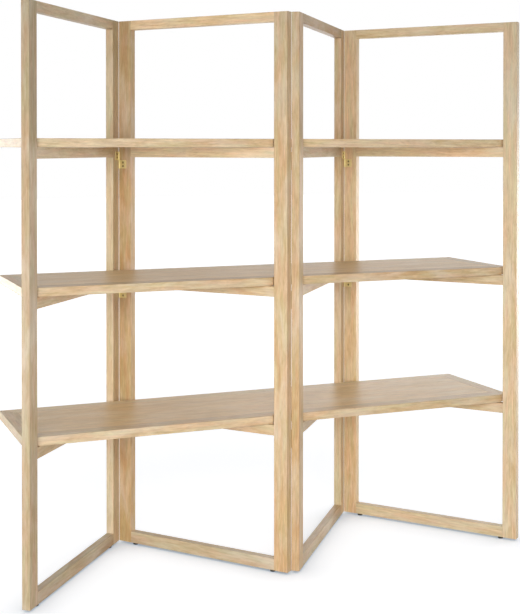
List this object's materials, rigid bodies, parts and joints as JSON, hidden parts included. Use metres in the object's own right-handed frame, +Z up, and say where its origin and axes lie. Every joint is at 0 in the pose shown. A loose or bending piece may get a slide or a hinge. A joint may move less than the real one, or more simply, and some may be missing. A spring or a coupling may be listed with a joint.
{
  "type": "folding bookcase",
  "caption": "Free-standing folding bookcase: hinged open wooden leaves in a zig-zag, with long loose shelves threaded through them and resting on their rails.",
  "frame": {"origin": "on the floor, at the middle of the outline", "axes": "+X to the right along the shelves, +Y to the rear, +Z up; the two ends of the zig-zag and its middle fold face the front (-Y)"},
  "size_m": [1.9002, 0.58, 1.98],
  "materials": {
    "frame_wood": "pale honey oak, open grain, matt lacquer",
    "shelf_panel": "taupe-brown veneer, satin lacquer",
    "shelf_border": "pale oak strip, satin lacquer",
    "hinge_brass": "satin",
    "pin_steel": "ground",
    "dark_screw": "dark bronzed",
    "black_glide": "moulded"
  },
  "bodies": {
    "leaf_1": {"leaf_1_front_stile": "frame_wood", "leaf_1_rear_stile": "frame_wood", "leaf_1_bottom_rail": "frame_wood", "leaf_1_low_rail": "frame_wood", "leaf_1_mid_rail": "frame_wood", "leaf_1_high_rail": "frame_wood", "leaf_1_top_rail": "frame_wood", "leaf_1_upper_flags": "hinge_brass", "leaf_1_hinge_screws": "dark_screw", "leaf_1_glides": "black_glide"},
    "leaf_2": {"leaf_2_front_stile": "frame_wood", "leaf_2_rear_stile": "frame_wood", "leaf_2_bottom_rail": "frame_wood", "leaf_2_low_rail": "frame_wood", "leaf_2_mid_rail": "frame_wood", "leaf_2_high_rail": "frame_wood", "leaf_2_top_rail": "frame_wood", "leaf_2_lower_flags": "hinge_brass", "leaf_2_hinge_pins": "pin_steel", "leaf_2_hinge_screws": "dark_screw", "leaf_2_glides": "black_glide"},
    "leaf_3": {"leaf_3_front_stile": "frame_wood", "leaf_3_rear_stile": "frame_wood", "leaf_3_bottom_rail": "frame_wood", "leaf_3_low_rail": "frame_wood", "leaf_3_mid_rail": "frame_wood", "leaf_3_high_rail": "frame_wood", "leaf_3_top_rail": "frame_wood", "leaf_3_upper_flags": "hinge_brass", "leaf_3_hinge_screws": "dark_screw", "leaf_3_glides": "black_glide"},
    "leaf_4": {"leaf_4_front_stile": "frame_wood", "leaf_4_rear_stile": "frame_wood", "leaf_4_bottom_rail": "frame_wood", "leaf_4_low_rail": "frame_wood", "leaf_4_mid_rail": "frame_wood", "leaf_4_high_rail": "frame_wood", "leaf_4_top_rail": "frame_wood", "leaf_4_lower_flags": "hinge_brass", "leaf_4_hinge_pins": "pin_steel", "leaf_4_hinge_screws": "dark_screw", "leaf_4_glides": "black_glide"},
    "low_shelf": {"low_shelf_panel": "shelf_panel", "low_shelf_front_border": "shelf_border", "low_shelf_rear_border": "shelf_border", "low_shelf_left_border": "shelf_border", "low_shelf_right_border": "shelf_border"},
    "mid_shelf": {"mid_shelf_panel": "shelf_panel", "mid_shelf_front_border": "shelf_border", "mid_shelf_rear_border": "shelf_border", "mid_shelf_left_border": "shelf_border", "mid_shelf_right_border": "shelf_border"},
    "high_shelf": {"high_shelf_panel": "shelf_panel", "high_shelf_front_border": "shelf_border", "high_shelf_rear_border": "shelf_border", "high_shelf_left_border": "shelf_border", "high_shelf_right_border": "shelf_border"}
  },
  "joints": [
    {"name": "left_fold", "type": "hinge", "parent": "leaf_2", "child": "leaf_1", "pos_m": [-0.47531, 0.26813, 0.008], "axis": [0, 0, 1], "range_deg": [0, 77.6]},
    {"name": "front_fold", "type": "hinge", "parent": "leaf_2", "child": "leaf_3", "pos_m": [0, -0.26813, 0.008], "axis": [0, 0, 1], "range_deg": [0, 77.6]},
    {"name": "right_fold", "type": "hinge", "parent": "leaf_3", "child": "leaf_4", "pos_m": [0.47531, 0.26813, 0.008], "axis": [0, 0, -1], "range_deg": [0, 77.6]},
    {"name": "low_shelf_turn", "type": "hinge", "parent": "leaf_2", "child": "low_shelf", "pos_m": [-0.47531, 0.26813, 0.008], "axis": [0, 0, 1], "range_deg": [0, 38.8]},
    {"name": "mid_shelf_turn", "type": "hinge", "parent": "leaf_2", "child": "mid_shelf", "pos_m": [-0.47531, 0.26813, 0.008], "axis": [0, 0, 1], "range_deg": [0, 38.8]},
    {"name": "high_shelf_turn", "type": "hinge", "parent": "leaf_2", "child": "high_shelf", "pos_m": [-0.47531, 0.26813, 0.008], "axis": [0, 0, 1], "range_deg": [0, 38.8]}
  ],
  "couplings": [
    {"joint": "front_fold", "follows": "left_fold", "ratio": 1},
    {"joint": "right_fold", "follows": "left_fold", "ratio": 1},
    {"joint": "low_shelf_turn", "follows": "left_fold", "ratio": 0.5},
    {"joint": "mid_shelf_turn", "follows": "left_fold", "ratio": 0.5},
    {"joint": "high_shelf_turn", "follows": "left_fold", "ratio": 0.5}
  ]
}
